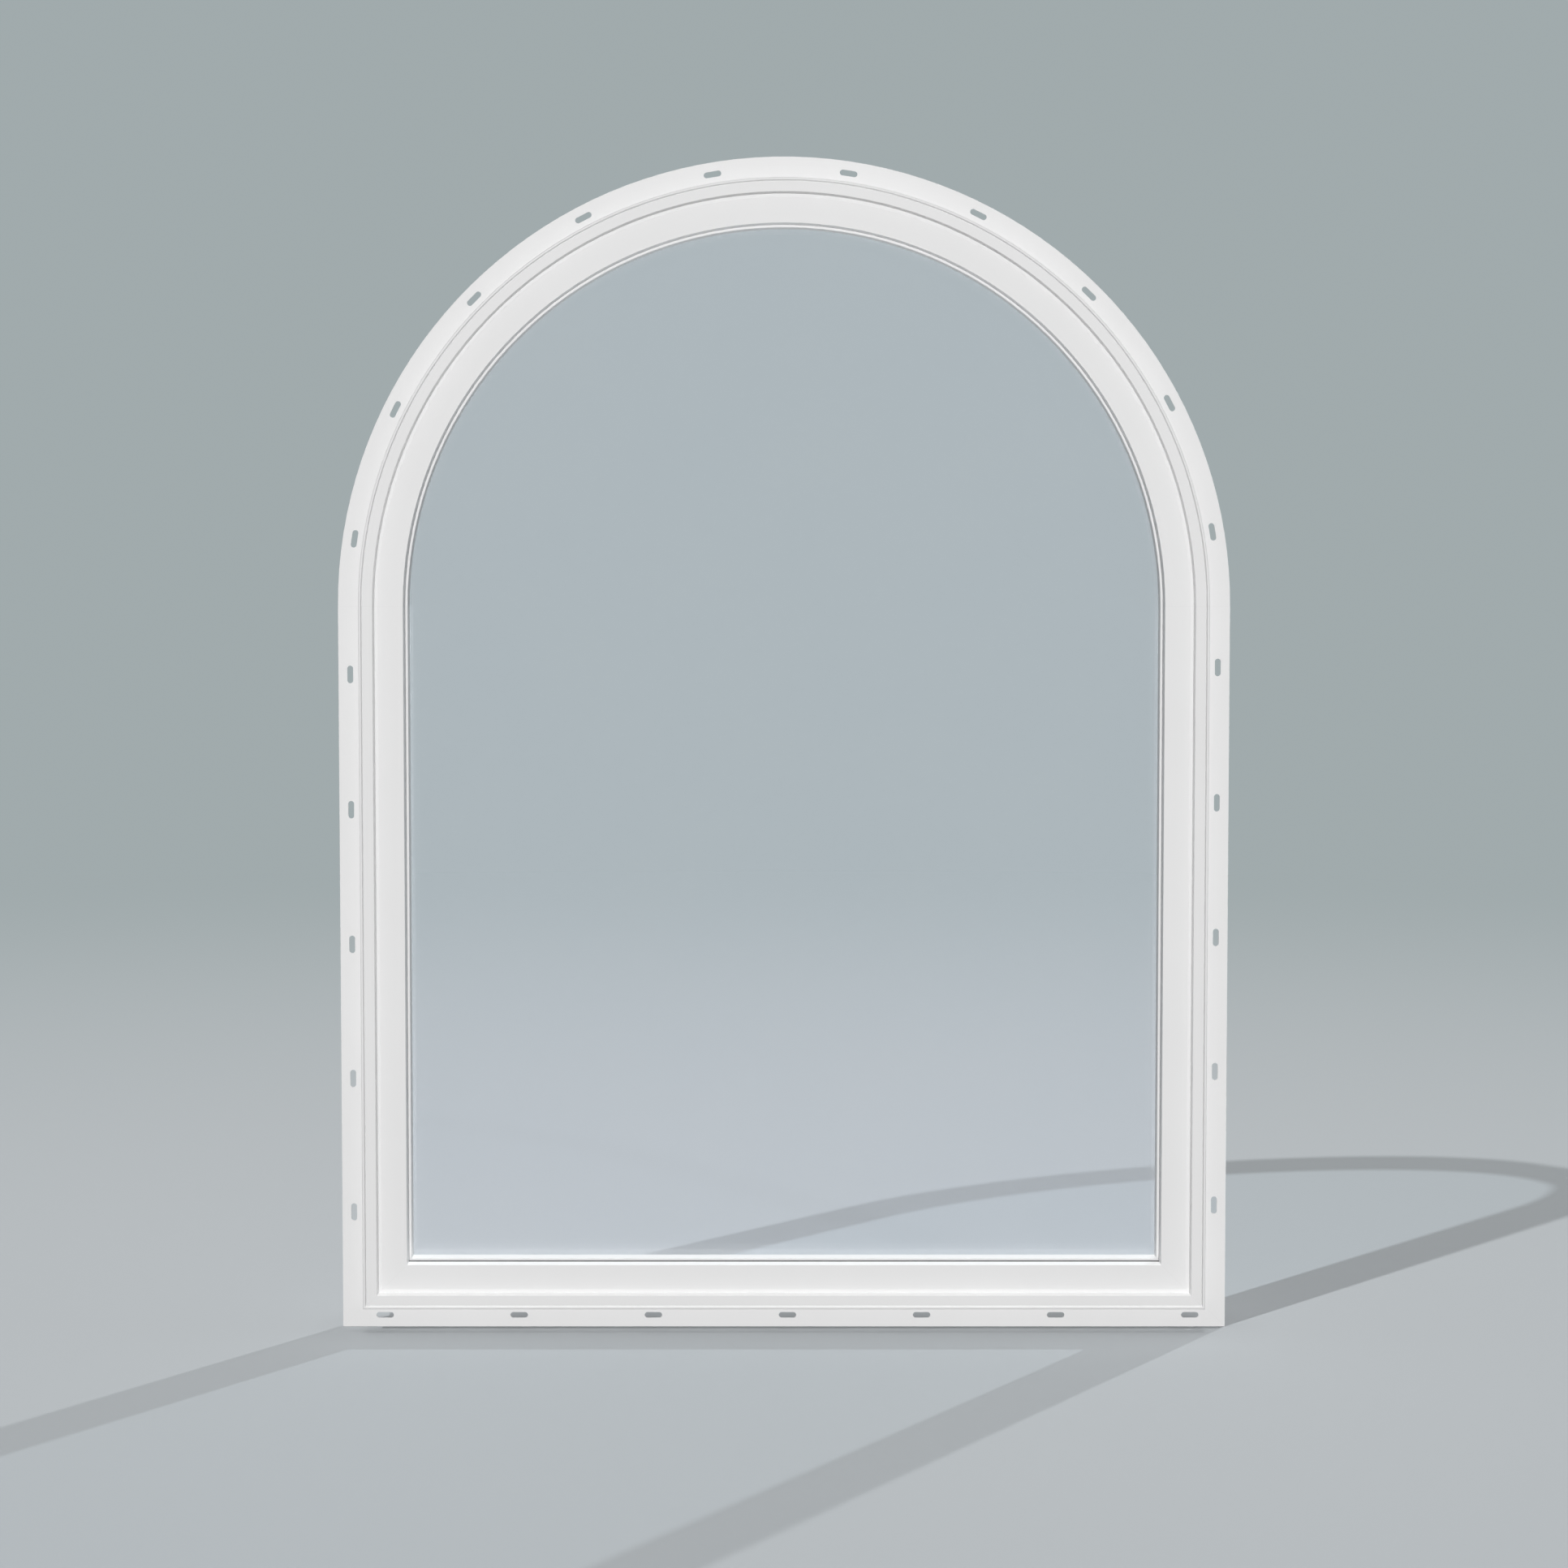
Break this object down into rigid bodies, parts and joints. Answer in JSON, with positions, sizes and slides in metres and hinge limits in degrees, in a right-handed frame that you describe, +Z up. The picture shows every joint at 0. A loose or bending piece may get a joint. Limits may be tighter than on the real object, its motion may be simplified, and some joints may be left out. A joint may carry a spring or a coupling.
{
  "type": "arched top vinyl window with nailing fin",
  "caption": "Fixed white vinyl window with a half-round top, stepped frame and sash, insulating glass and a slotted nailing fin round its edge.",
  "frame": {"origin": "on the back face of the sill's nailing fin, at the middle of the fin's lower edge", "axes": "+X to the right seen from outside, +Y into the wall from outside to inside, +Z up"},
  "size_m": [0.9652, 0.0826, 1.2699],
  "materials": {
    "white_vinyl": "satin white vinyl",
    "black_gasket": "black rubber",
    "grey_gasket": "light grey rubber",
    "spacer_metal": "mill aluminium",
    "clear_glass": "clear float glass"
  },
  "bodies": {
    "root": {"nailing_fin_sill": "white_vinyl", "nailing_fin_left": "white_vinyl", "nailing_fin_right": "white_vinyl", "nailing_fin_arch": "white_vinyl", "frame_sill": "white_vinyl", "frame_jamb_left": "white_vinyl", "frame_jamb_right": "white_vinyl", "frame_arched_head": "white_vinyl", "sash_bottom_rail": "white_vinyl", "sash_stile_left": "white_vinyl", "sash_stile_right": "white_vinyl", "sash_arched_rail": "white_vinyl", "glazing_stop_sill": "white_vinyl", "glazing_stop_left": "white_vinyl", "glazing_stop_right": "white_vinyl", "glazing_stop_arch": "white_vinyl", "interior_bead_sill": "white_vinyl", "interior_bead_left": "white_vinyl", "interior_bead_right": "white_vinyl", "interior_bead_arch": "white_vinyl", "glazing_gasket_sill": "black_gasket", "glazing_gasket_left": "grey_gasket", "glazing_gasket_right": "grey_gasket", "glazing_gasket_arch": "grey_gasket", "spacer_bar_sill": "spacer_metal", "spacer_bar_left": "spacer_metal", "spacer_bar_right": "spacer_metal", "spacer_bar_arch": "spacer_metal", "outer_glass_pane": "clear_glass", "inner_glass_pane": "clear_glass"}
  },
  "joints": []
}
